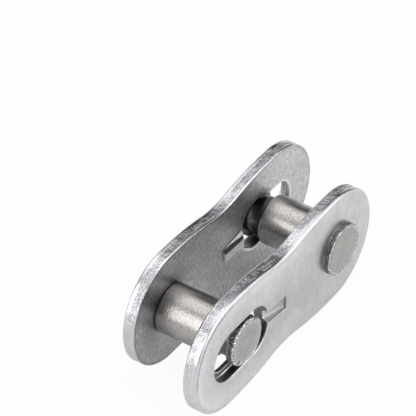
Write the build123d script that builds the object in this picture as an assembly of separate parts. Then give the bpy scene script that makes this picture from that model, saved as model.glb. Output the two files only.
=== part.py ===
# Quick-connect link of a half-inch-pitch roller chain.
#
# Two equal halves face each other.  Each half is a figure-of-eight plate with
# one turned pin riveted into it and one keyhole slot.  The pin of either half
# reaches across, drops its free head through the wide hole of the other plate,
# and slides along that plate's slot until its neck meets the slot's round end,
# where the head lies on a ledge sunk into the outer face.
#
# Frame, in mm: +X along the link, +Y from the front plate to the back plate,
# +Z up across the plate.  The origin is midway between the plates and midway
# between the pin axes; half a turn about Z swaps the two halves.

from build123d import *
import math
import os

os.makedirs("parts", exist_ok=True)

# ---- Driving sizes of the link (mm) ----
PITCH = 12.7            # pin axis to pin axis with both pins snapped home
PLATE_GAP = 4.9         # between the two inner faces
SLIDE_LEFT = 1.61       # travel still to go before the pins are home

# ---- Plate ----
PLATE_T = 1.0           # thickness
LOBE_R = 4.27           # round ends
LOBE_X = 6.17           # centre of each round end from the plate's middle
LOBE_FLAT = 0.77        # level edge beside each round end
WAIST_DROP = 0.53       # how far the edge dips at the waist
WAIST_R = 7.8           # hollow of the waist
OUTER_ROUND = 0.2       # rolled-over rim on the outer face
INNER_BREAK = 0.06      # broken rim on the inner face

# ---- Pin ----
BODY_R = 1.77           # bearing length between the plates
BODY_L = 4.3
NECK_R = 1.38
NECK_L = 1.23
HEAD_R = 1.734          # free head
HEAD_L = 0.52
HEAD_BREAK = 0.1        # broken edge of the free head
TENON_R = 1.45          # riveted through the plate
RIVET_R = 1.88          # spread end outside the plate
RIVET_H = 0.44
RIVET_BREAK = 0.14      # rounded edge of the spread end
FOOT_BREAK = 0.07       # edge break where the body seats on the plate

# ---- Clearances ----
NECK_PLAY = 0.07        # neck to the narrow slot, on the radius
LEDGE_PLAY = 0.166      # free head to the sunk ledge, on the radius
PASS_PLAY = 0.196       # free head to the wide hole, on the radius

# ---- Keyhole slot ----
SLOT_TRAVEL = 2.4       # pin axis from the wide hole to home
LEDGE_D = 0.65          # depth of the ledge below the outer face

# ---- Pressed tab beside the wide hole: (far end, slot end) ----
TAB_L = 2.06            # from the plate's middle to the edge of the wide hole
TAB_TOP = (0.44, 0.62)  # upper edge, up from the pin line
TAB_FOOT = (0.64, 0.5)  # lower edge, down from the pin line
TAB_KNEE = (0.37, 0.45)  # where the steep upper flank turns easy
TAB_CROWN = (0.02, 0.21)  # where the flat crown of the tab begins
TAB_DEPTH = (0.15, 0.44)  # sunk into the outer face
TAB_RISE = (0.16, 0.36)  # raised from the inner face
TAB_LEAN = 0.16         # how far the raised end stands back from the hole
TAB_RUN_OUT = 0.4       # how far the sunk side is cut on into the wide hole
KNEE_SHARE = 0.63       # part of the tab's height reached at the knee

# ---- Tied sizes ----
PIN_X = PITCH / 2
INNER_Y = PLATE_GAP / 2
OUTER_Y = INNER_Y + PLATE_T
SLOT_HALF = NECK_R + NECK_PLAY
LEDGE_R = HEAD_R + LEDGE_PLAY
WIDE_R = HEAD_R + PASS_PLAY
WIDE_X = PIN_X - SLOT_TRAVEL
HALF_SHIFT = SLIDE_LEFT / 2


def figure_eight():
    """Face of the plate: two round ends, gently crowned edges and a hollow waist.

    One quarter of the edge runs out from the waist: the hollow arc, the wide
    arc of the crown, a short level edge and the round end.  The crown is the
    arc that leaves the hollow smoothly and comes level where it should.
    """
    level_x = LOBE_X - LOBE_FLAT
    waist_z = LOBE_R - WAIST_DROP
    both_radii = (level_x**2 + WAIST_DROP**2) / (2 * WAIST_DROP)
    share = WAIST_R / both_radii
    touch = (level_x * share, waist_z + WAIST_DROP * share)
    with BuildSketch() as face:
        with BuildLine():
            hollow = TangentArc((0, waist_z), touch, tangent=(1, 0))
            TangentArc(touch, (level_x, LOBE_R), tangent=hollow % 1)
            Line((level_x, LOBE_R), (LOBE_X, LOBE_R))
            TangentArc((LOBE_X, LOBE_R), (LOBE_X + LOBE_R, 0), tangent=(1, 0))
            mirror(about=Plane.XZ)
            mirror(about=Plane.YZ)
        make_face()
    return face.sketch


def tab_section(x, top, knee, crown, foot, height, level, reach):
    """Section of the tab at x: a kneed upper flank, a flat crown, a steep foot.

    level is the y of the plate face it starts from, height how far the crown
    stands off that face toward +Y, and reach how far the section runs back
    into the plate (for a tool, out past the face) so that it joins cleanly.
    """
    points = [
        (top, level - reach),
        (top, level),
        (knee, level + KNEE_SHARE * height),
        (crown, level + height),
        (-foot + 0.04, level + height),
        (-foot, level),
        (-foot, level - reach),
    ]
    corners = [Vector(x, y, z) for z, y in points]
    return Face(Wire.make_polygon(corners, close=True))


def tab_block(x_ends, heights, level, reach):
    """Solid between the far section and the section at the wide hole."""
    ends = []
    for x, height, top, knee, crown, foot in zip(
        x_ends, heights, TAB_TOP, TAB_KNEE, TAB_CROWN, TAB_FOOT
    ):
        section = tab_section(x, top, knee, crown, foot, height, level, reach)
        ends.append(section.outer_wire())
    return Solid.make_loft(ends, ruled=True)


def make_plate():
    """Front plate about its own middle: its slot toward -X, pin hole at +X."""
    inner = Plane.XZ.offset(INNER_Y)
    outer = Plane.XZ.offset(OUTER_Y)
    with BuildPart() as plate:
        with BuildSketch(inner):
            add(figure_eight())
        extrude(amount=PLATE_T)
        outer_rim = plate.faces().sort_by(Axis.Y)[0].edges()
        fillet(outer_rim, OUTER_ROUND)
        inner_rim = plate.faces().sort_by(Axis.Y)[-1].edges()
        chamfer(inner_rim, INNER_BREAK)

        # The tab is pressed through: proud inside, sunk outside.
        add(tab_block((0.0, -TAB_L + TAB_LEAN), TAB_RISE, -INNER_Y, PLATE_T / 2))
        sink = tab_block((0.0, -TAB_L - TAB_RUN_OUT), TAB_DEPTH, -OUTER_Y, PLATE_T / 2)
        add(sink, mode=Mode.SUBTRACT)

        # Wide hole, narrow slot, and the ledge that takes the free head.
        with BuildSketch(outer):
            with Locations((-WIDE_X, 0)):
                Circle(WIDE_R)
        extrude(amount=-PLATE_T - 1, mode=Mode.SUBTRACT)
        slot_mid = (-(PIN_X + WIDE_X) / 2, 0)
        with BuildSketch(outer):
            with Locations(slot_mid):
                SlotCenterToCenter(SLOT_TRAVEL, 2 * SLOT_HALF)
        extrude(amount=-PLATE_T - 1, mode=Mode.SUBTRACT)
        with BuildSketch(outer):
            with Locations(slot_mid):
                SlotCenterToCenter(SLOT_TRAVEL, 2 * LEDGE_R)
        extrude(amount=-LEDGE_D, mode=Mode.SUBTRACT)

        # Hole for the riveted tenon.
        with BuildSketch(outer):
            with Locations((PIN_X, 0)):
                Circle(TENON_R)
        extrude(amount=-PLATE_T, mode=Mode.SUBTRACT)
    return plate.part


def ring_edges(part, y, radius):
    """Round edges of a turned part at the given y and radius."""
    rings = part.edges().filter_by(GeomType.CIRCLE)
    return [e for e in rings if abs(e.center().Y - y) < 1e-4 and abs(e.radius - radius) < 1e-4]


def make_pin():
    """Pin of the front half, turned about the line x = PIN_X along Y."""
    shoulder_y = -INNER_Y + BODY_L
    neck_y = shoulder_y + NECK_L
    face_y = neck_y + HEAD_L
    rivet_y = -OUTER_Y - RIVET_H
    profile = [
        (0, rivet_y),
        (RIVET_R, rivet_y),
        (RIVET_R, -OUTER_Y),
        (TENON_R, -OUTER_Y),
        (TENON_R, -INNER_Y),
        (BODY_R, -INNER_Y),
        (BODY_R, shoulder_y),
        (NECK_R, shoulder_y),
        (NECK_R, neck_y),
        (HEAD_R, neck_y),
        (HEAD_R, face_y),
        (0, face_y),
    ]
    with BuildPart() as pin:
        with BuildSketch():
            with Locations((PIN_X, 0)):
                Polygon(*profile, align=None)
        revolve(axis=Axis((PIN_X, 0, 0), (0, 1, 0)))
        fillet(ring_edges(pin.part, rivet_y, RIVET_R), RIVET_BREAK)
        chamfer(ring_edges(pin.part, face_y, HEAD_R), HEAD_BREAK)
        chamfer(ring_edges(pin.part, shoulder_y, BODY_R), FOOT_BREAK)
        chamfer(ring_edges(pin.part, -INNER_Y, BODY_R), FOOT_BREAK)
    return pin.part


def place_front(part):
    """Stand the front half back from home by its share of the travel."""
    return part.moved(Location((-HALF_SHIFT, 0, 0)))


def place_back(part):
    """The back half is the front half given half a turn about Z."""
    return place_front(part).rotate(Axis.Z, 180)


plate = make_plate()
pin = make_pin()

nodes = {
    "front_plate": place_front(plate),
    "front_pin": place_front(pin),
    "back_plate": place_back(plate),
    "back_pin": place_back(pin),
}

for name, shape in nodes.items():
    shape.label = name
    export_step(shape, f"parts/{name}.step")
    size = shape.bounding_box().size
    print(f"{name}: {size.X:.2f} x {size.Y:.2f} x {size.Z:.2f} mm, {shape.volume:.2f} mm3")
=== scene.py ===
# %% [markdown]
# # A quick-connect chain link
#
# Two stamped steel plates face each other, each with one turned pin riveted
# into it.  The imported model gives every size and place.  This script dresses
# it: plates with rolled-over rims and torn, chattered edges, a keyhole slot
# with its sunk ledge, a pressed tab, and pins with a turned finish.

# %% Setup
import math

import bmesh
import bpy
import numpy as np
from mathutils import Matrix, Vector


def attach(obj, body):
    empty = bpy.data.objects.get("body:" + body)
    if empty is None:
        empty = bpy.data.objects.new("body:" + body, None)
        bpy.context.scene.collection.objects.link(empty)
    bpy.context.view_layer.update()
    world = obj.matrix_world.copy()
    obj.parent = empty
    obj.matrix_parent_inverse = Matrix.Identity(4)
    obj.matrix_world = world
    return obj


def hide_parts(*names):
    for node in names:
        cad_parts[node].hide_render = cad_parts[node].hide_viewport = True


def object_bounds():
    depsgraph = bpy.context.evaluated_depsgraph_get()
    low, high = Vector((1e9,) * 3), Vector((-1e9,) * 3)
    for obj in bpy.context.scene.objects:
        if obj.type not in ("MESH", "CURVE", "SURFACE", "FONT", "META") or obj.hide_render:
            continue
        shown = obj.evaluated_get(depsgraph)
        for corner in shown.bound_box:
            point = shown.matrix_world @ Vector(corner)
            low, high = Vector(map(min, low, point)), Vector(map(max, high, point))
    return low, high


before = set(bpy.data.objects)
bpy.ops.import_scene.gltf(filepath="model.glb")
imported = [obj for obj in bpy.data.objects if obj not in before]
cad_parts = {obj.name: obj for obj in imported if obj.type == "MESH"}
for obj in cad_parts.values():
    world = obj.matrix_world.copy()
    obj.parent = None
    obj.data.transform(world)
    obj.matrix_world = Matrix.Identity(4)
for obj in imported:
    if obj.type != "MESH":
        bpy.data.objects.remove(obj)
cad_box = [list(corner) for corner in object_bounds()]
MM = 0.001
print("nodes:", sorted(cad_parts))

# %% [markdown]
# ## The camera
#
# A long lens stands about 230 mm away, to the left of the link's near end
# and looking down on it by 40 degrees.  Azimuth and elevation turn into three
# axes of the camera: right, up, and back towards the camera.

# %% Camera
AZIMUTH, ELEVATION = math.radians(-55.8), math.radians(40.22)
DISTANCE = 228.8
PIXELS_PER_MM = 15.25
AIM = (2.67, -4.33)
IMAGE_SIDE = 416
SENSOR = 36.0

back = np.array([
    math.sin(AZIMUTH) * math.cos(ELEVATION),
    -math.cos(AZIMUTH) * math.cos(ELEVATION),
    math.sin(ELEVATION),
])
right = np.array([math.cos(AZIMUTH), math.sin(AZIMUTH), 0.0])
up = np.cross(back, right)
eye = DISTANCE * back - AIM[0] * right - AIM[1] * up

camera_data = bpy.data.cameras.new("camera")
camera_data.sensor_width = SENSOR
camera_data.lens = SENSOR * PIXELS_PER_MM * DISTANCE / IMAGE_SIDE
camera_data.clip_start = 0.01
camera = bpy.data.objects.new("camera", camera_data)
turn = Matrix([list(axis) for axis in (right, up, back)]).transposed().to_4x4()
camera.matrix_world = Matrix.Translation(Vector(eye * MM)) @ turn
bpy.context.scene.collection.objects.link(camera)
bpy.context.scene.camera = camera
print(f"camera: {DISTANCE:.0f} mm away, {camera_data.lens:.0f} mm lens")

# %% [markdown]
# ## Node trees as plain expressions
#
# A material is arithmetic on patterns.  Wrapping a socket in a small class
# with operators lets the sums read as sums: `0.3 + 0.2 * grain` adds two Math
# nodes and keeps the tree in order.

# %% Shader class


class Tree:
    """A node tree that hands out wrapped sockets."""

    def __init__(self, tree):
        self.tree = tree
        tree.nodes.clear()

    def node(self, kind, inputs=(), out=0, **settings):
        """Add a node: its settings first, then the value or link of each socket."""
        made = self.tree.nodes.new(kind)
        for name, value in settings.items():
            setattr(made, name, value)
        for key, value in dict(inputs).items():
            self.put(made.inputs[key], value)
        return Sock(self, made.outputs[out], made) if len(made.outputs) else made

    def put(self, socket, value):
        """Link a wrapped socket, or set a plain value."""
        if isinstance(value, Sock):
            self.tree.links.new(value.socket, socket)
        else:
            socket.default_value = value


class Sock:
    """A value in a node tree.  Its operators add Math nodes."""

    def __init__(self, tree, socket, owner=None):
        self.tree, self.socket, self.owner = tree, socket, owner

    def out(self, name):
        return Sock(self.tree, self.owner.outputs[name], self.owner)

    def math(self, operation, *others, clamp=False):
        inputs = {i: v for i, v in enumerate((self, *others))}
        return self.tree.node("ShaderNodeMath", inputs, operation=operation, use_clamp=clamp)

    def __add__(self, other):
        return self.math("ADD", other)

    def __mul__(self, other):
        return self.math("MULTIPLY", other)

    def __sub__(self, other):
        return self.math("SUBTRACT", other)

    def __rsub__(self, other):
        return self.tree.node("ShaderNodeMath", {0: other, 1: self}, operation="SUBTRACT")

    __radd__ = __add__
    __rmul__ = __mul__

    def clamp(self):
        return self.math("ADD", 0.0, clamp=True)

    def step(self, low, high):
        """0 below low and 1 above high, with a smooth rise between."""
        return self.tree.node(
            "ShaderNodeMapRange",
            {"Value": self, "From Min": low, "From Max": high},
            interpolation_type="SMOOTHSTEP",
        )


# %% [markdown]
# ## Floor and light
#
# The link stands in a bright studio.  A metal part shows the room more than
# the lamp, so the room matters: a white floor, two soft boxes, and a tent of
# eight soft panels.  Each panel has one of three levels, set one by one and
# judged.  The gaps between the panels are dark, and they draw the dark
# stretches along the upper edges and the pins.

# %% Floor
low_z = cad_box[0][2]
FLOOR_HALF = 3.0
corners = [(-1, -1), (1, -1), (1, 1), (-1, 1)]
floor_mesh = bpy.data.meshes.new("floor")
floor_mesh.from_pydata([(x * FLOOR_HALF, y * FLOOR_HALF, low_z) for x, y in corners], [], [(0, 1, 2, 3)])
floor = bpy.data.objects.new("floor", floor_mesh)
bpy.context.scene.collection.objects.link(floor)


def pale_floor():
    """White to the camera and mostly white in reflections, with the soft shadow kept."""
    material = bpy.data.materials.new("pale_floor")
    material.use_nodes = True
    t = Tree(material.node_tree)
    ray = t.node("ShaderNodeLightPath")
    seen = ray.out("Is Camera Ray") * 0.94 + ray.out("Is Transmission Ray") * 0.94
    seen = (seen + ray.out("Is Glossy Ray") * 0.2).clamp()
    matt = t.node("ShaderNodeBsdfDiffuse", {"Color": (0.9, 0.9, 0.91, 1)})
    white = t.node("ShaderNodeEmission", {"Color": (1, 1, 1, 1), "Strength": 1.0})
    mixed = t.node("ShaderNodeMixShader", {0: seen, 1: matt, 2: white})
    t.node("ShaderNodeOutputMaterial", {"Surface": mixed})
    return material


floor_mesh.materials.append(pale_floor())
print(f"floor: {2 * FLOOR_HALF:.0f} m square, at {low_z / MM:.2f} mm")

# %% World


STRONG, PLAIN, WEAK = 1.7, 1.2, 0.7
CORE = 3.0  # degrees from its middle within which a panel has its full radiance
PANELS = [
    # direction towards the panel, its reach in degrees, radiance
    ((0.2, 0.25, 0.94), 40, STRONG),  # ceiling
    ((-0.55, 0.15, 0.82), 36, WEAK),  # ceiling, left
    ((0.5, -0.25, 0.83), 30, WEAK),  # ceiling, right
    ((-0.93, 0.2, 0.3), 36, PLAIN),  # left wall
    ((0.7, 0.7, 0.05), 30, PLAIN),  # low, behind on the right
    ((-0.1, -0.8, 0.57), 30, WEAK),  # front, high
    ((0.1, -0.95, 0.22), 45, STRONG),  # front, low
    ((0.5, -0.83, 0.2), 30, PLAIN),  # front, low on the right
]


def studio_world():
    """A tent of soft panels, each a pale round patch that fades outward, and white to the camera."""
    world = bpy.data.worlds.new("studio")
    world.use_nodes = True
    bpy.context.scene.world = world
    t = Tree(world.node_tree)
    direction = t.node("ShaderNodeTexCoord").out("Generated")

    def panel(towards, reach):
        """1 in one direction, falling smoothly to 0 at `reach` degrees from it."""
        along = t.node(
            "ShaderNodeVectorMath", {0: direction, 1: Vector(towards).normalized()}, out="Value",
            operation="DOT_PRODUCT",
        )
        return along.step(math.cos(math.radians(reach)), math.cos(math.radians(CORE)))

    room = 0.0
    for towards, reach, radiance in PANELS:
        room = room + panel(towards, reach) * radiance
    seen = t.node("ShaderNodeLightPath").out("Is Camera Ray")
    grey = t.node("ShaderNodeCombineXYZ", {i: room * (1 - seen) + seen for i in range(3)})
    lit = t.node("ShaderNodeBackground", {"Color": grey, "Strength": 1.0})
    t.node("ShaderNodeOutputWorld", {"Surface": lit})


studio_world()
print(f"panels: {len(PANELS)}, at levels {WEAK}, {PLAIN} and {STRONG}")

# %% Soft boxes


def soft_box(name, toward, distance, size, radiance):
    """A square lamp of the given radiance, facing the origin from `toward`."""
    data = bpy.data.lights.new(name, "AREA")
    data.shape = "RECTANGLE"
    data.size, data.size_y = size
    data.energy = radiance * math.pi * size[0] * size[1]
    lamp = bpy.data.objects.new(name, data)
    aim = Vector(toward).normalized()
    lamp.location = aim * distance
    lamp.rotation_euler = aim.to_track_quat("Z", "Y").to_euler()
    bpy.context.scene.collection.objects.link(lamp)
    return lamp


soft_box("key_box", (-0.78, 0.43, 0.45), 0.7, (0.5, 0.62), 1.3)
soft_box("front_box", (0.3, -0.8, 0.5), 0.7, (1.1, 0.4), 0.85)

scene = bpy.context.scene
scene.view_settings.view_transform = "Standard"

# %% [markdown]
# ## Making meshes from arrays
#
# Every piece below is a handful of patches.  A patch is a grid of points
# worked out as whole numpy arrays, and its faces are the little squares of
# the grid.  Patches share their border points, so merging equal points joins
# them into one closed skin.

# %% Patches to a closed mesh
OUTER_Y = 3.45  # outer face of a plate from the middle of the link
PLATE_T = 1.0
PIN_X = 6.35  # riveted pin from the plate's middle
SHIFT = -0.805  # the front plate's middle from the link's


def quads(rows, cols, first, wrap):
    """Corner numbers of a grid's squares.

    The point in row i and column j has number first + i * cols + j.  A
    wrapped grid joins its last row to its first.
    """
    i = np.arange(rows if wrap else rows - 1)[:, None]
    j = np.arange(cols - 1)[None, :]
    ahead = (i + 1) % rows
    a, b = i * cols + j, ahead * cols + j
    return first + np.stack([a, b, b + 1, a + 1], axis=-1).reshape(-1, 4)


def build(name, patches, marks, body, node, sharp=32):
    """Join patches of (grid of x, y, z in mm, wrapped or not) into one object.

    `marks` are float attributes: each is a list with one array for each patch.
    """
    points = np.concatenate([grid.reshape(-1, 3) for grid, _ in patches])
    faces, first = [], 0
    for grid, wrap in patches:
        faces.append(quads(grid.shape[0], grid.shape[1], first, wrap))
        first += grid.shape[0] * grid.shape[1]
    faces = np.concatenate(faces)
    mesh = bpy.data.meshes.new(name)
    mesh.vertices.add(len(points))
    mesh.vertices.foreach_set("co", (points * MM).ravel())
    mesh.loops.add(faces.size)
    mesh.loops.foreach_set("vertex_index", faces.ravel())
    mesh.polygons.add(len(faces))
    mesh.polygons.foreach_set("loop_start", np.arange(0, faces.size, 4))
    for key, arrays in marks.items():
        attribute = mesh.attributes.new(key, "FLOAT", "POINT")
        attribute.data.foreach_set("value", np.concatenate([a.ravel() for a in arrays]))
    mesh.update(calc_edges=True)
    bm = bmesh.new()
    bm.from_mesh(mesh)
    bmesh.ops.remove_doubles(bm, verts=bm.verts, dist=1e-8)
    bmesh.ops.dissolve_degenerate(bm, dist=1e-8, edges=bm.edges)
    bmesh.ops.recalc_face_normals(bm, faces=bm.faces)
    open_edges = sum(not e.is_manifold for e in bm.edges)
    volume = bm.calc_volume(signed=True)
    bm.to_mesh(mesh)
    bm.free()
    if volume < 0:
        mesh.flip_normals()
    mesh.polygons.foreach_set("use_smooth", np.ones(len(mesh.polygons), bool))
    mesh.set_sharp_from_angle(angle=math.radians(sharp))
    piece = bpy.data.objects.new(name, mesh)
    scene.collection.objects.link(piece)
    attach(piece, body)
    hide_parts(node)
    print(f"{name}: {len(mesh.polygons)} faces, {open_edges} open edges, {abs(volume) * 1e9:.2f} mm3")
    return piece


def smooth(value, low, high):
    """0 below low, 1 above high, and 3t^2 - 2t^3 between."""
    t = np.clip((value - low) / (high - low), 0, 1)
    return t * t * (3 - 2 * t)


def lattice(u, v, cells_u, cells_v, seed):
    """Smooth random height from -1 to 1 that closes on itself in u.

    Random values sit at the corners of a lattice; between them the weights
    are 3t^2 - 2t^3 of the distance in each direction.
    """
    table = np.random.default_rng(seed).uniform(-1, 1, (cells_v + 1, cells_u))
    a, b = np.broadcast_arrays((u % 1.0) * cells_u, np.clip(v, 0, 1) * cells_v)
    i = np.floor(a).astype(int)
    j = np.minimum(np.floor(b).astype(int), cells_v - 1)
    wa, wb = smooth(a - i, 0, 1), smooth(b - j, 0, 1)
    near, far = i % cells_u, (i + 1) % cells_u
    low = table[j, near] * (1 - wa) + table[j, far] * wa
    high = table[j + 1, near] * (1 - wa) + table[j + 1, far] * wa
    return low * (1 - wb) + high * wb


# %% [markdown]
# ## The plate
#
# Each plate is stamped from one-millimetre strip, so it carries the marks of
# the die: the outer rim is rolled over, the cut edge is torn and chattered,
# and the inner rim is left nearly sharp.  The outline is two round ends
# joined by gently crowned edges that dip into a hollow waist.  Walking along
# it by length gives the first parameter of every patch round the rim.

# %% Outline
CLEAR = 0.004  # what the dressed pieces keep inside the solids at their farthest reach
LOBE_R, LOBE_X, LOBE_FLAT, WAIST_DROP, WAIST_R = 4.27, 6.17, 0.77, 0.53, 7.8
level_x = LOBE_X - LOBE_FLAT
waist_z = LOBE_R - WAIST_DROP
both_radii = (level_x**2 + WAIST_DROP**2) / (2 * WAIST_DROP)
CROWN_R = both_radii - WAIST_R
waist_turn = math.asin(level_x / both_radii)
hollow_len = WAIST_R * waist_turn
level_len = both_radii * waist_turn
round_len = level_len + LOBE_FLAT
OUTLINE_LEN = 4 * (round_len + LOBE_R * math.pi / 2)


def outline(s):
    """Points and outward normals of the rim at length s from the top of the waist.

    It runs from the waist along the top left, round the left end, and back
    under to the waist, then the same on the right.  A quarter of it is four
    pieces: the hollow arc of WAIST_R about (0, waist_z + WAIST_R), the wide
    crown arc of CROWN_R about (level_x, LOBE_R - CROWN_R), the level edge,
    and the end arc of LOBE_R about (LOBE_X, 0).  `turn` is the angle of the
    outward normal from straight up.  The quarter is mirrored into place.
    """
    s = np.asarray(s) % OUTLINE_LEN
    quarter = OUTLINE_LEN / 4
    index = np.minimum((s / quarter).astype(int), 3)
    along = s - index * quarter
    along = np.where(index % 2 == 1, quarter - along, along)
    hollow = along < hollow_len
    turn = np.minimum(along - level_len, 0) / CROWN_R + np.maximum(along - round_len, 0) / LOBE_R
    turn = np.where(hollow, -along / WAIST_R, turn)
    nx, nz = np.sin(turn), np.cos(turn)
    radius = np.where(hollow, -WAIST_R, np.where(along < level_len, CROWN_R, LOBE_R))
    start = np.where(hollow, 0, level_x + np.clip(along - level_len, 0, LOBE_FLAT))
    x = start + radius * nx
    z = np.where(hollow, waist_z, LOBE_R) - radius * (1 - nz)
    side_x = np.where(index < 2, -1.0, 1.0)
    side_z = np.where((index == 0) | (index == 3), 1.0, -1.0)
    return np.stack([side_x * x, side_z * z], -1), np.stack([side_x * nx, side_z * nz], -1)


print(f"rim: {OUTLINE_LEN:.1f} mm long, crown radius {CROWN_R:.1f} mm")

# %% [markdown]
# The pressed tab and the gentle roll of the face are written once, as a
# change of depth at a place on the plate.  Every patch passes through the
# same function, so patches that met before still meet after it.

# %% Forming the face
TAB_SLOT_X, TAB_SINK_X, TAB_RISE_X = -2.05, 0.03, 0.13
ROLL, ROLL_REACH = 0.05, 1.1


def rim_distance(x, z):
    """Distance in from the rim, to whichever of its arcs faces the point.

    That is the hollow arc near the waist, and else the nearer of the crown
    and the end.
    """
    x, z = np.abs(x), np.abs(z)
    hollow_z, crown_z = waist_z + WAIST_R, LOBE_R - CROWN_R
    crown = CROWN_R - np.hypot(np.minimum(x - level_x, 0), z - crown_z)
    end = LOBE_R - np.hypot(np.maximum(x - LOBE_X, 0), z)
    hollow = np.hypot(x, hollow_z - z) - WAIST_R
    at_waist = x / level_x < (hollow_z - z) / (hollow_z - crown_z)
    return np.where(at_waist, hollow, np.minimum(crown, end))


def ramp(value, start, end):
    """A straight rise from 0 at start to 1 at end."""
    return np.clip((value - start) / (end - start), 0, 1)


def sink_lines(x):
    """Share of the way to the slot, and the heights of the sunk side's top and foot lines."""
    t = np.clip((TAB_SINK_X - x) / (TAB_SINK_X - TAB_SLOT_X), 0, 1.25)
    return t, 0.42 + 0.19 * t, -0.65 + 0.22 * t


def rise_lines(x):
    """Share of the way to the slot, and the heights of the raised side's top, knee, crown and foot."""
    t = np.clip((TAB_RISE_X - x) / (TAB_RISE_X - TAB_SLOT_X), 0, 1)
    return t, 0.44 + 0.18 * t, 0.42 + 0.03 * t, 0.015 + 0.195 * t, -0.64 + 0.13 * t


def tab_sink(x, z):
    """Depth of the tab below the outer face: a floor that falls towards the slot, with steep sides."""
    t, top, foot = sink_lines(x)
    across = np.minimum(ramp(z, top, top - 0.05 - 0.2 * t), ramp(z, foot, foot + 0.04 + 0.06 * t))
    return (0.15 + 0.31 * t) * across * ramp(x, TAB_SINK_X + 0.02, TAB_SINK_X - 0.02) * (x > WIDE_X)


def tab_rise(x, z):
    """Height of the tab above the inner face: a steep facet, an easy one, a flat crown, a sharp foot.

    All the lines between them spread apart from the sheared end to the slot.
    """
    t, top, knee, crown, foot = rise_lines(x)
    knee_h, full = 0.02 + 0.225 * t, 0.16 + 0.2 * t
    upper = np.where(
        z > knee,
        knee_h * ramp(z, top, knee),
        knee_h + (full - knee_h) * ramp(z, knee, crown),
    )
    return upper * ramp(z, foot, foot + 0.05) * ramp(x, TAB_RISE_X + 0.02, TAB_RISE_X - 0.03) * (x > WIDE_X)


def tab_painted_light(x, z, h):
    """Light and shade painted on the tab: above 0 a painted highlight, below 0 painted shade.

    On the outer face the tab's floor gets a little painted shade, and its lower
    flank a painted bright line over a dark one, with a painted highlight on the
    edge below it.  On the inner face the crown and its sheared foot are painted
    bright; the easy facet, the crease above the top line and the sheared end get
    painted shade.
    """
    near = (x > WIDE_X) * (x < 0.3)
    t, top, foot = sink_lines(x)
    inside = ramp(x, TAB_SINK_X + 0.02, TAB_SINK_X - 0.02)
    up = (z - foot) / (0.04 + 0.06 * t)
    outer = -0.3 * ramp(z, top + 0.01, top - 0.03) * ramp(up, 1.0, 1.5)
    outer = outer + 0.4 * ramp(np.abs(up - 0.7), 0.25, 0.1) - 0.1 * ramp(np.abs(up - 0.25), 0.35, 0.2)
    outer = outer + 0.5 * ramp(np.abs(z - foot + 0.04), 0.04, 0.01)
    outer = outer * inside

    t, top, knee, crown, foot = rise_lines(x)
    inside = ramp(x, TAB_RISE_X + 0.02, TAB_RISE_X - 0.03)
    easy = ramp(z, knee + 0.01, knee - 0.02) * ramp(z, crown - 0.03, crown + 0.03)
    flat = ramp(z, crown + 0.03, crown - 0.03) * ramp(z, foot, foot + 0.03)
    inner = 0.9 * flat + 0.1 * flat * ramp(z, foot + 0.14, foot + 0.08) - 0.6 * easy
    painted_shade_line = ramp(np.abs(z - top - 0.04), 0.06, 0.03)
    end = ramp(np.abs(x - TAB_RISE_X - 0.01), 0.06, 0.02)
    end = end * ramp(z, top + 0.03, top) * ramp(z, foot - 0.02, foot)
    inner = inner * inside - 0.8 * np.maximum(painted_shade_line * inside, end)
    return near * np.where(h < 0.5 * PLATE_T, outer, inner)


# Painted shade: the inner face round the riveted pin's foot is darkened, deepest on this side.
SHADE_TOWARDS = (0.64, 0.77)  # the side of the riveted pin that is dullest, as a direction in x and z


def foot_painted_shade(x, z, h):
    """Painted shade round the foot of the riveted pin on the inner face, most of it above and outside the
    pin.
    """
    dx = x - PIN_X
    away = np.hypot(dx, z)
    side = (SHADE_TOWARDS[0] * dx + SHADE_TOWARDS[1] * z) / np.maximum(away, 1e-6)
    return -0.75 * ramp(away, 3.4, 1.9) * ramp(side, -0.5, 0.5) * (h > 0.5 * PLATE_T)


def rim_painted_light(x, z, h):
    """Painted shade in a line beside the inner rim, and painted light in a margin beside the outer one.

    The margin is painted brighter at the top and at the lower left, and the
    middle of the outer face gets a little painted shade against its edges.
    """
    inset = rim_distance(x, z)
    painted_rim_shade = -0.5 * ramp(inset, 0.24, 0.14)
    painted_light = 0.3 * ramp(inset, 1.1, 0.4) * ramp(z - 0.5 * x, 0.0, 4.0)
    painted_light = painted_light + 0.3 * ramp(inset, 2.0, 0.6) * ramp(z, -0.5, -2.5) * ramp(x, 1.0, -1.0)
    painted_light = painted_light - 0.12 * ramp(inset, 1.5, 2.5)
    return np.where(h > 0.5 * PLATE_T, painted_rim_shade, painted_light)


def formed(x, z, h):
    """Place a point of the plain plate: h is its depth from the outer face, 0 to PLATE_T.

    The face rolls off a little towards the rim, the tab sinks the outer face
    and raises the inner one in proportion to depth, and the raised end of
    the tab leans back from the hole.
    """
    share = h / PLATE_T
    roll = ROLL * (1 - ramp(rim_distance(x, z), 0, ROLL_REACH)) ** 2
    depth = h + (roll + tab_sink(x, z)) * (1 - share) + tab_rise(x, z) * share
    lean = 0.16 * ramp(z, -0.6, -0.5) * ramp(z, 0.6, 0.35) * smooth(-x, 1.2, 1.95) * (x > WIDE_X)
    return np.stack([x + lean * share + SHIFT, depth - OUTER_Y, z + 0 * x], -1)


# %% [markdown]
# The keyhole is two holes in one.  From the outer face down to the ledge it
# is as wide as the pin's head; below the ledge only the neck fits, except at
# the wide end, where the head can pass.  Both are read as the distance from
# one point inside the slot out to its wall, in every direction.

# %% Keyhole
SLOT_EYE = -5.15
HOME_X, WIDE_X = -6.35, -3.95
WIDE_R, LEDGE_R, NECK_HALF, LEDGE_D = 1.93, 1.9, 1.45, 0.65


def reach_circle(turn, centre, radius):
    """Distance from the eye to a circle round `centre`, both on the pin line."""
    gap = centre - SLOT_EYE
    return gap * np.cos(turn) + np.sqrt(radius**2 - (gap * np.sin(turn)) ** 2)


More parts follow.
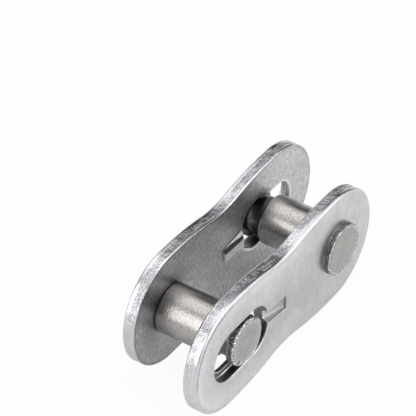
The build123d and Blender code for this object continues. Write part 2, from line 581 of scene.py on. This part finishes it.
def reach_slot(turn, radius):
    """Distance from the eye to a round-ended slot from HOME_X to WIDE_X.

    It is the distance to the straight side where that lies between the two
    end centres, and otherwise the distance to the end circle.
    """
    side = radius / np.maximum(np.abs(np.sin(turn)), 1e-9)
    x = SLOT_EYE + side * np.cos(turn)
    with np.errstate(invalid="ignore"):
        left = reach_circle(turn, HOME_X, radius)
        right_end = reach_circle(turn, WIDE_X, radius)
    return np.where(x < HOME_X, left, np.where(x > WIDE_X, right_end, side))


def keyhole(turn, radius):
    return np.maximum(reach_slot(turn, radius), reach_circle(turn, WIDE_X, WIDE_R))


cusp_x = WIDE_X - math.sqrt(WIDE_R**2 - NECK_HALF**2)
cusp_turn = math.atan2(NECK_HALF, cusp_x - SLOT_EYE)

# %% [markdown]
# The plate's skin is seven patches: two rings for each face, the rim, the
# wall of the keyhole and the wall of the pin hole.  The rings meet on a line
# across the waist.  The torn edge gets its chatter here, as real relief.

# %% Plate patches
OUTER_SPREAD, OUTER_DROP, INNER_ROUND, TENON_R = 0.34, 0.17, 0.1, 1.45
HOLE_ROUND, INNER_HOLE_ROUND = 0.09, 0.16
SEAM = 0.5  # how far the seam between the rings stands from the waist, along the rim
SEAM_FINE, SEAM_END = 1.24, 3.3  # height of its close-set stretch, and of its last point
RIM_STEP = 0.085


def seam_heights():
    """Heights of the points along the seam, close together where the tab is."""
    fine = np.linspace(-SEAM_FINE, SEAM_FINE, 118)
    coarse = np.linspace(SEAM_FINE, SEAM_END, 20)[1:]
    return np.concatenate([-coarse[::-1], fine, coarse])


def rising(spans):
    """0 to 1 in steps: each span is (its share of the way, how many steps it takes)."""
    steps = np.concatenate([np.full(n, share / n) for share, n in spans])
    return np.concatenate([[0], np.cumsum(steps) / steps.sum()])


def ring_loop(start, end, count, inset, heights):
    """One closed loop: the rim from length start to end, set in, and the seam back to its start."""
    s = np.linspace(start, end, count)
    point, normal = outline(s)
    rim = point - inset * normal
    seam = np.stack([np.full(len(heights), rim[0, 0]), heights], -1)
    return np.concatenate([rim, seam])


def chatter(s, h, seed):
    """Tear of the cut edge, in mm inwards: short upright ridges, deeper towards the inner face.

    Two lattices, one 0.2 mm and one 0.09 mm apart along the rim, multiply a
    coarse one that turns the tearing on and off in stretches.
    """
    u = s / OUTLINE_LEN
    v = h / PLATE_T
    ridges = lattice(u, v, 250, 3, seed) + 0.6 * lattice(u, v, 500, 5, seed + 1)
    where = smooth(lattice(u, v, 60, 2, seed + 2), -0.5, 0.4)
    band = smooth(h, 0.25, 0.4) * (1 - smooth(h, 0.82, 0.9))
    waves = 0.004 + 0.004 * lattice(u, 0 * v, 40, 1, seed + 3)
    waves = waves * smooth(h, 0.1, 0.3) * (1 - smooth(h, 0.8, 0.9))
    return band * where * (0.016 + 0.01 * ridges) + waves


def plate_patches(seed):
    """All seven patches of the front plate, and marks: cut edge, slot wall and tone, the last two carrying
    painted light and shade.
    """
    top, bottom = -SEAM, OUTLINE_LEN / 2 + SEAM
    left_n = int((bottom - top) / RIM_STEP)
    right_n = int((OUTLINE_LEN - SEAM - bottom) / RIM_STEP)
    heights = seam_heights()
    along_left = rising([(0.04, 2), (0.72, 26), (0.11, 14), (0.13, 6)])[:, None]
    along_right = rising([(0.8, 22), (0.2, 8)])[:, None]

    middle = ring_loop(top, bottom, left_n, 0.1, heights)
    turn = np.arctan2(middle[:, 1], middle[:, 0] - SLOT_EYE)
    for cusp in (cusp_turn, -cusp_turn):
        turn[np.argmin(np.abs(turn - cusp))] = cusp
    ray = np.stack([np.cos(turn), np.sin(turn)], -1)
    wide, narrow = keyhole(turn, LEDGE_R), keyhole(turn, NECK_HALF)
    eye = np.array([SLOT_EYE, 0.0])

    pin_middle = ring_loop(bottom, OUTLINE_LEN + top, right_n, 0.1, heights[::-1])
    pin_turn = np.arctan2(pin_middle[:, 1], pin_middle[:, 0] - PIN_X)
    pin_hole = np.array([PIN_X, 0]) + TENON_R * np.stack([np.cos(pin_turn), np.sin(pin_turn)], -1)

    patches, edge_mark, wall_mark, tone_mark = [], [], [], []

    def add(x, z, h, edge=0.0, wall=0.0, tone=0.0):
        x, z, h = np.broadcast_arrays(x, z, h)
        patches.append((formed(x, z, h), True))
        edge_mark.append(np.broadcast_to(edge, x.shape))
        wall_mark.append(np.broadcast_to(wall, x.shape))
        tone_mark.append(np.broadcast_to(tone, x.shape))

    # Faces: straight lines from each hole's edge out to the rim or the seam.
    outer_face = (OUTER_SPREAD, 0.0, wide + HOLE_ROUND)
    inner_face = (INNER_ROUND, PLATE_T, narrow + INNER_HOLE_ROUND)
    for inset, h, hole in (outer_face, inner_face):
        inner = eye + hole[:, None] * ray
        outer = ring_loop(top, bottom, left_n, CLEAR + inset, heights)
        face = inner[:, None] + along_left * (outer - inner)[:, None]
        # Painted light and shade on the tab, a painted highlight on the inner face along the slot's edge, and
        # painted light and shade along the rims.
        tone = tab_painted_light(face[..., 0], face[..., 1], h) + 0.6 * (h > 0.5) * (along_left[:, 0] < 0.025)
        tone = tone + rim_painted_light(face[..., 0], face[..., 1], h)
        add(face[..., 0], face[..., 1], h, tone=tone)
        outer = ring_loop(bottom, OUTLINE_LEN + top, right_n, CLEAR + inset, heights[::-1])
        face = pin_hole[:, None] + along_right * (outer - pin_hole)[:, None]
        # Painted shade round the riveted pin's foot, and painted light and shade along the rims.
        tone = foot_painted_shade(face[..., 0], face[..., 1], h) + rim_painted_light(face[..., 0], face[..., 1], h)
        add(face[..., 0], face[..., 1], h, tone=tone)

    # Rim: a flat quarter ellipse, the cut edge, and a small quarter round.
    right_s = np.linspace(bottom, OUTLINE_LEN + top, right_n)[1:-1]
    s = np.concatenate([np.linspace(top, bottom, left_n), right_s])
    a = np.linspace(0, math.pi / 2, 10)
    b = np.linspace(0, math.pi / 2, 5)
    inset = np.concatenate([OUTER_SPREAD * (1 - np.sin(a)), np.zeros(14), INNER_ROUND * (1 - np.cos(b))])
    level = np.linspace(OUTER_DROP, PLATE_T - INNER_ROUND, 16)[1:-1]
    depth = np.concatenate([
        OUTER_DROP * (1 - np.cos(a)), level, PLATE_T - INNER_ROUND * (1 - np.sin(b)),
    ])
    point, normal = outline(s)
    cut = CLEAR + inset[None, :] + chatter(s[:, None], depth[None, :], seed)
    band = smooth(depth, 0.08, 0.17) * (1 - smooth(depth, 0.93, 0.98))
    rim = point[:, None] - cut[..., None] * normal[:, None]
    worn = smooth(np.abs(point[:, 0]) - LOBE_X, 2.6, 3.6) * smooth(-point[:, 1], -1.5, -1.0)
    worn = worn * smooth(point[:, 1], -3.4, -2.6)
    # Painted shade: a thin dark line where the rim's rounding leaves the outer face, on the upper part of the
    # left end.
    at_left = smooth(-point[:, 0], 5.5, 7.5) * smooth(point[:, 1], -0.8, 0.2)
    painted_shade_line = -0.6 * at_left[:, None] * (1 - smooth(depth, 0.003, 0.02))[None, :]
    add(
        rim[..., 0], rim[..., 1], depth[None, :],
        edge=band[None, :] * (1 - 0.85 * worn[:, None]), tone=painted_shade_line,
    )

    # Keyhole wall: edge break, wide wall, ledge, narrow wall, edge break.
    a, b = np.linspace(0, math.pi / 2, 4), np.linspace(0, math.pi / 2, 6)
    rows = [(0, HOLE_ROUND * (1 - math.sin(t)), HOLE_ROUND * (1 - math.cos(t)), 0) for t in a]
    rows += [(0, 0, h, 1) for h in np.linspace(HOLE_ROUND, LEDGE_D - 0.05, 8)[1:]]
    rows += [(0.12, 0, LEDGE_D, 0.1), (0.5, 0, LEDGE_D, 0.5), (0.84, 0, LEDGE_D, 0.35)]
    rows += [(0.96, 0, LEDGE_D + 0.02, 0.1), (1, 0, LEDGE_D + 0.06, 0.6)]
    rows += [(1, 0, h, 1) for h in np.linspace(LEDGE_D + 0.08, PLATE_T - INNER_HOLE_ROUND, 5)]
    rows += [
        (1, INNER_HOLE_ROUND * (1 - math.cos(t)), PLATE_T - INNER_HOLE_ROUND * (1 - math.sin(t)), 0)
        for t in b[1:]
    ]
    # The last number of each row is painted shade on the wall: full on the wide and narrow walls, less on the
    # ledge, least along its two edges.
    share, extra, level, mark = np.array(rows).T[:, None, :]
    reach = wide[:, None] * (1 - share) + narrow[:, None] * share + extra
    wall = eye + reach[..., None] * ray[:, None]
    # Painted light on the inner edge of the slot's wall, and painted shade on that edge beside the tab.
    beside_tab = (wall[..., 0] > -3.0) & (wall[..., 1] > 0.2)
    painted_light = smooth(level, 0.84, 0.9) * np.where(beside_tab, -0.4, 0.8)
    add(wall[..., 0], wall[..., 1], level, wall=mark, tone=painted_light)

    # Pin hole wall.
    add(pin_hole[:, None, 0], pin_hole[:, None, 1], np.linspace(0, PLATE_T, 3)[None, :])
    return patches, {"cut_edge": edge_mark, "slot_wall": wall_mark, "tone": tone_mark}


def half_turn(patches):
    """The back half: x and y change sign, as in half a turn about Z."""
    return [(grid * np.array([-1, -1, 1]), wrap) for grid, wrap in patches]


# %% Build the plates
front_patches, marks = plate_patches(seed=11)
front_plate = build("plate_front", front_patches, marks, "front_half", "front_plate")
back_patches, marks = plate_patches(seed=41)
back_plate = build("plate_back", half_turn(back_patches), marks, "back_half", "back_plate")

# %% [markdown]
# ## The pins
#
# A pin is turned, so it is a profile carried round its axis.  The profile
# runs from the middle of the riveted end, out round its spread rim, in to the
# tenon inside the plate, out to the bearing body, in again to the neck, and
# over the free head.  The riveted rim was upset by a press: it is uneven and
# grainy, with painted glints on it and painted shade on its side.  The free
# head has a broken edge with painted glints, and a faintly dished face, and the
# one that shows in the front plate's slot has a small pit, darkened by painted shade.

# %% Pin profile
BODY_R, NECK_R, HEAD_R, RIVET_R = 1.77, 1.38, 1.734, 1.88
RIVET_H, HEAD_L = 0.44, 0.52
RIVET_FACE, OUTER_FACE, INNER_FACE = -OUTER_Y - RIVET_H + CLEAR, -OUTER_Y, -OUTER_Y + PLATE_T
SHOULDER, UNDER_HEAD = 1.85, 3.08
HEAD_FACE = UNDER_HEAD + HEAD_L
FOOT_GROOVE, SHOULDER_ROUND, RIVET_EDGE, HEAD_EDGE = 0.06, 0.16, 0.1, 0.16
PIN_SIDES = 240
PIT_PLACE, PIT_R, PIT_DEPTH = (0.96, -1.06), 0.13, 0.06  # place from the pin's axis, in x and z
PIT_SHADE = 1.6  # above 1, so that the pit is dark nearly to its rim


def corner(radius, y, dr, dy, size, count):
    """Quarter-round corner at (radius, y): it leaves along dr and arrives along dy."""
    t = np.linspace(0, math.pi / 2, count)
    return np.stack([radius - dr * size * (1 - np.sin(t)), y + dy * size * (1 - np.cos(t))], -1)


def pin_profile():
    """Radius and y of the profile, from the riveted end's middle to the free head's."""
    def line(r0, y0, r1, y1, count):
        return np.linspace((r0, y0), (r1, y1), count)

    parts = [
        line(0, RIVET_FACE, RIVET_R - RIVET_EDGE, RIVET_FACE, 30)[:-1],
        corner(RIVET_R, RIVET_FACE, 1, 1, RIVET_EDGE, 9),
        line(RIVET_R, RIVET_FACE + RIVET_EDGE, RIVET_R, OUTER_FACE, 12)[1:],
        line(RIVET_R, OUTER_FACE, TENON_R, OUTER_FACE, 4)[1:],
        line(TENON_R, OUTER_FACE, TENON_R, INNER_FACE, 4)[1:],
        line(TENON_R, INNER_FACE, BODY_R - FOOT_GROOVE, INNER_FACE, 3)[1:],
        line(BODY_R - FOOT_GROOVE, INNER_FACE, BODY_R - FOOT_GROOVE, INNER_FACE + 0.04, 3)[1:],
        line(BODY_R - FOOT_GROOVE, INNER_FACE + 0.04, BODY_R, INNER_FACE + 0.08, 4)[1:],
        line(BODY_R, INNER_FACE + 0.08, BODY_R, SHOULDER - SHOULDER_ROUND, 40)[1:],
        corner(BODY_R, SHOULDER, 1, -1, SHOULDER_ROUND, 9)[::-1],
        line(BODY_R - SHOULDER_ROUND, SHOULDER, NECK_R, SHOULDER, 5)[1:],
        line(NECK_R, SHOULDER, NECK_R, UNDER_HEAD, 10)[1:],
        line(NECK_R, UNDER_HEAD, HEAD_R, UNDER_HEAD, 5)[1:],
        line(HEAD_R, UNDER_HEAD, HEAD_R, HEAD_FACE - HEAD_EDGE, 12)[1:],
        corner(HEAD_R, HEAD_FACE, 1, -1, HEAD_EDGE, 11)[::-1],
        line(HEAD_R - HEAD_EDGE, HEAD_FACE, 0, HEAD_FACE, 28)[1:],
    ]
    return np.concatenate(parts)


def pin_patches(seed, pitted):
    """The front pin's skin, and marks on its rough rims, its head and its painted shade.

    A pit is a round dent that falls off with the square of the distance from
    its middle, as a share of its radius.
    """
    profile = pin_profile()
    turn = np.linspace(0, 2 * math.pi, PIN_SIDES, endpoint=False)[:, None]
    r, y = np.broadcast_arrays(profile[None, :, 0], profile[None, :, 1])
    r = np.broadcast_to(r, (PIN_SIDES, len(profile))).copy()
    y = np.broadcast_to(y, r.shape).copy()
    u = np.broadcast_to(turn / (2 * math.pi), r.shape)

    # The riveted rim: its outline wanders and its edge is grainy.
    rivet = smooth(-y, -OUTER_FACE - 0.01, -OUTER_FACE + 0.1) * smooth(r, 1.5, 1.72)
    v = (y - RIVET_FACE) / RIVET_H
    r -= rivet * (0.02 + 0.022 * lattice(u, v, 22, 1, seed) + 0.012 * lattice(u, v, 90, 4, seed + 1))
    face = smooth(-y, -RIVET_FACE - 0.02, -RIVET_FACE - 0.001)
    dimples = 1 + lattice(u, r / 2, 30, 8, seed + 2)
    y += face * (0.025 * smooth(r, 1.2, 1.8) + 0.008 * dimples * smooth(r, 0.2, 0.9))

    # The free head: a broken edge, and a face dished by a few hundredths.
    head = smooth(y, UNDER_HEAD + 0.02, UNDER_HEAD + 0.15) * smooth(r, 1.5, 1.62)
    v = (y - UNDER_HEAD) / HEAD_L
    r -= head * (0.012 + 0.012 * lattice(u, v, 26, 2, seed + 3) + 0.012 * lattice(u, v, 100, 5, seed + 4))
    face = smooth(y, HEAD_FACE - 0.02, HEAD_FACE - 0.001)
    dimples = 1 + lattice(u, r / 2, 28, 8, seed + 5)
    y -= face * (0.004 + 0.01 * smooth(-r, -0.9, -0.2) + 0.006 * dimples * smooth(r, 0.3, 0.9))
    away = np.hypot(r * np.cos(turn) - PIT_PLACE[0], r * np.sin(turn) - PIT_PLACE[1])
    pit = pitted * face * np.clip(1 - (away / PIT_R) ** 2, 0, 1)
    y -= PIT_DEPTH * pit
    x, z = PIN_X + SHIFT + r * np.cos(turn), r * np.sin(turn)
    # Painted shade on the neck and under the head, in the groove at the pin's foot, and in the pit.
    painted_shade = smooth(y, SHOULDER - 0.03, SHOULDER) * (1 - smooth(y, UNDER_HEAD, UNDER_HEAD + 0.1))
    painted_shade = painted_shade + (r < BODY_R - 0.02) * smooth(y, INNER_FACE - 0.05, INNER_FACE) * (y < 0) + PIT_SHADE * pit
    rivet_side = 1 - smooth(-y, -RIVET_FACE - 0.1, -RIVET_FACE - 0.03)
    head_side = 1 - smooth(y, HEAD_FACE - 0.16, HEAD_FACE - 0.08)
    side = np.where(y < 0, rivet_side, head_side)
    ring = smooth(r, 1.05, 1.55) * (y > HEAD_FACE - 0.3)
    # The rims carry painted glints, and the sides painted shade.
    specks = (rivet + head) * (1 - side)
    return [(np.stack([x, y, z], -1), True)], {
        "rough_side_shade": [(rivet + head) * side], "rough_rim_glints": [specks], "ring": [ring], "painted_shade": [painted_shade],
    }


# %% Build the pins
front_skin, marks = pin_patches(seed=71, pitted=False)
front_pin = build("pin_front", front_skin, marks, "front_half", "front_pin")
back_skin, marks = pin_patches(seed=91, pitted=True)
back_pin = build("pin_back", half_turn(back_skin), marks, "back_half", "back_pin")

# %% [markdown]
# ## Steel
#
# Bare rolled steel is a mirror that has been rubbed dull.  Apart from the
# painted light and shade, its colour stays nearly the same everywhere; what
# changes is how rough it is, and the small relief that bends the reflections.
# The plates are a cool grey with faint clouds and a fine grain across the
# strip, scratched crosswise on the inner faces.  Their cut edges are torn
# upright; the `tone` mark is painted light, a painted highlight above 0 and
# painted shade below, and the slot's wall gets painted shade.  The pins are
# warmer and more even, with painted shade on the neck, the foot groove, the
# pit and the sides of the heads, and painted glints on their rims.

# %% Steel materials


def stretched(t, coords, scale):
    """Coordinates scaled apart, so that a pattern comes out stretched."""
    return t.node("ShaderNodeMapping", {"Vector": coords, "Scale": scale})


def noise(t, coords, scale, detail=3.0, roughness=0.55):
    return t.node(
        "ShaderNodeTexNoise",
        {"Vector": coords, "Scale": scale, "Detail": detail, "Roughness": roughness},
        noise_dimensions="3D",
    )


def tint(t, factor, low, high):
    """A colour between low and high by a factor from 0 to 1."""
    made = t.node("ShaderNodeMix", {0: factor}, data_type="RGBA", out=2)
    t.put(made.owner.inputs[6], (*low, 1))
    t.put(made.owner.inputs[7], (*high, 1))
    return made


def blend(t, factor, colour, other):
    """A wrapped colour turning into a plain one by a factor from 0 to 1."""
    made = t.node("ShaderNodeMix", {0: factor}, data_type="RGBA", out=2)
    t.put(made.owner.inputs[6], colour)
    t.put(made.owner.inputs[7], (*other, 1))
    return made


def steel(name):
    """A metal tree with its coordinates in millimetres ready to use."""
    material = bpy.data.materials.new(name)
    material.use_nodes = True
    t = Tree(material.node_tree)
    coords = t.node("ShaderNodeTexCoord").out("Object")
    mm = t.node("ShaderNodeVectorMath", {0: coords, 1: (1000, 1000, 1000)}, operation="MULTIPLY")
    return material, t, mm


def mark(t, name):
    return t.node("ShaderNodeAttribute", attribute_name=name, out=2)


def cells(t, coords, scale):
    """Height of cone-like facets with sharp creases between them."""
    return t.node("ShaderNodeTexVoronoi", {"Vector": coords, "Scale": scale}, feature="F1")


def warped(t, mm, scale, reach):
    """Coordinates pushed about by up to `reach` mm, to break a pattern's evenness."""
    push = t.node("ShaderNodeTexNoise", {"Vector": mm, "Scale": scale, "Detail": 2.0}, out=1)
    push = t.node(
        "ShaderNodeVectorMath", {0: push, 1: (2 * reach,) * 3, 2: (-reach,) * 3},
        operation="MULTIPLY_ADD",
    )
    return t.node("ShaderNodeVectorMath", {0: mm, 1: push}, operation="ADD")


def bump(t, height, distance, under=None):
    """Relief of `height` times `distance` mm, on top of any bump given as `under`."""
    inputs = {"Strength": 1.0, "Distance": distance * MM, "Height": height}
    if under is not None:
        inputs["Normal"] = under
    return t.node("ShaderNodeBump", inputs)


def finish(t, colour, rough, normal):
    shader = t.node("ShaderNodeBsdfPrincipled", {
        "Base Color": colour, "Metallic": 1.0, "Roughness": rough, "Normal": normal,
    })
    t.node("ShaderNodeOutputMaterial", {"Surface": shader})


def plate_steel():
    material, t, mm = steel("plate_steel")
    edge, wall, tone = mark(t, "cut_edge"), mark(t, "slot_wall"), mark(t, "tone")
    place = t.node("ShaderNodeSeparateXYZ", {0: mm})
    depth = OUTER_Y - place.out("Y").math("ABSOLUTE")
    outer, inner = 1 - depth.step(0.2, 0.3), depth.step(0.95, 0.99)
    torn = edge * depth.step(0.3, 0.5) * (1 - depth.step(0.84, 0.95))
    torn = torn * (0.4 + noise(t, mm, 1.1, 2, 0.5).step(0.38, 0.6) * 0.6)

    clouds = noise(t, mm, 0.45, 4, 0.6)
    grain = noise(t, stretched(t, mm, (1.0, 1.0, 0.14)), 8.0, 3, 0.6)
    upright = noise(t, stretched(t, mm, (1.3, 1.0, 0.25)), 9.0, 3, 0.6)
    crossed = noise(t, stretched(t, mm, (0.45, 1.0, 1.0)), 10.0, 2, 0.65)
    streaks = upright * 0.78 + crossed * 0.22
    fine = noise(t, mm, 7.0, 2, 0.6)
    blotch = noise(t, mm, 2.2, 3, 0.6)
    shifted = warped(t, mm, 2.2, 0.25)
    tear = cells(t, stretched(t, shifted, (1.0, 0.35, 1.0)), 17.0)
    splinter = noise(t, stretched(t, shifted, (1.0, 0.3, 1.0)), 30.0, 2, 0.65)
    shear = noise(t, stretched(t, mm, (1.0, 0.1, 1.0)), 9.0, 2, 0.6)
    lines = noise(t, stretched(t, mm, (0.05, 1.0, 0.05)), 14.0, 1, 0.5)

    shade = (clouds * 0.25 + grain * 0.25 + blotch * 0.2 + fine * 0.3).step(0.39, 0.61)
    colour = tint(t, shade, (0.57, 0.565, 0.583), (0.71, 0.705, 0.72))
    colour = blend(t, inner * (1 - streaks.step(0.41, 0.54)) * 0.7, colour, (0.37, 0.345, 0.35))
    colour = blend(t, inner * streaks.step(0.52, 0.62) * 0.4, colour, (0.92, 0.885, 0.895))
    # Painted shade on the slot's wall, with shear marks in it.
    wall_shade_and_shear = wall * (0.75 + 0.2 * shear.step(0.4, 0.55))
    colour = blend(t, wall_shade_and_shear, colour, (0.22, 0.21, 0.22))
    # The tone mark is painted light: a painted highlight where it is above 0, painted shade where it is
    # below.
    colour = blend(t, tone.clamp(), colour, (0.95, 0.94, 0.95))
    colour = blend(t, (0 - tone).clamp(), colour, (0.16, 0.155, 0.16))
    dirt = torn * (tear.step(0.3, 0.7) * 0.25 + (1 - splinter.step(0.4, 0.52)) * 0.9)
    colour = blend(t, edge * splinter.step(0.52, 0.6) * 0.55, colour, (0.93, 0.915, 0.95))
    colour = blend(t, dirt.clamp() + edge * 0.14, colour, (0.21, 0.2, 0.24))
    rough = 0.25 + 0.07 * grain + 0.06 * (1 - clouds) - 0.1 * edge
    skin = (0.6 * grain + 0.6 * fine + 0.4 * blotch + inner * streaks * 0.6) * (1 - edge) * (1 - wall)
    cut = torn * (0.8 * tear + 0.6 * splinter) + (1 - torn) * edge * 0.2 * lines + wall * shear
    relief = bump(t, cut, 0.016, bump(t, skin, 0.018))
    finish(t, colour, rough, relief)
    return material


def pin_steel():
    material, t, mm = steel("pin_steel")
    side, rim, ring, painted_shade = (mark(t, name) for name in ("rough_side_shade", "rough_rim_glints", "ring", "painted_shade"))
    clouds = noise(t, mm, 0.9, 4, 0.6)
    grit = noise(t, mm, 7.0, 2, 0.7)
    grains = noise(t, mm, 8.0, 2, 0.6)
    pits = cells(t, mm, 9.0)
    shade = clouds.step(0.3, 0.7) * 0.35 + grit.step(0.36, 0.64) * 0.65
    colour = tint(t, shade, (0.335, 0.324, 0.311), (0.49, 0.476, 0.458))
    colour = blend(t, ring * 0.35, colour, (0.66, 0.65, 0.63))
    # Painted glints: bright specks on the rough rims, with dark grains between them.
    colour = blend(t, rim * grains.step(0.48, 0.56) * 0.8, colour, (0.9, 0.89, 0.88))
    colour = blend(t, rim * (1 - grains.step(0.4, 0.46)) * 0.8, colour, (0.12, 0.11, 0.11))
    # Painted shade on the sides of the riveted end and the free head, broken by lighter grains.
    colour = blend(t, side * (1 - grains.step(0.5, 0.58) * 0.8) * 0.95, colour, (0.12, 0.11, 0.115))
    # Painted shade: neck, foot groove and pit darkened.
    colour = blend(t, painted_shade * 0.85, colour, (0.06, 0.057, 0.055))
    rough = 0.2 + 0.05 * grit + 0.03 * clouds
    relief = bump(t, grit, 0.014, bump(t, (rim + side) * (pits + grains), 0.05))
    finish(t, colour, rough, relief)
    return material


plate_finish, pin_finish = plate_steel(), pin_steel()
for piece in (front_plate, back_plate):
    piece.data.materials.append(plate_finish)
for piece in (front_pin, back_pin):
    piece.data.materials.append(pin_finish)
print("materials:", plate_finish.name, "and", pin_finish.name)
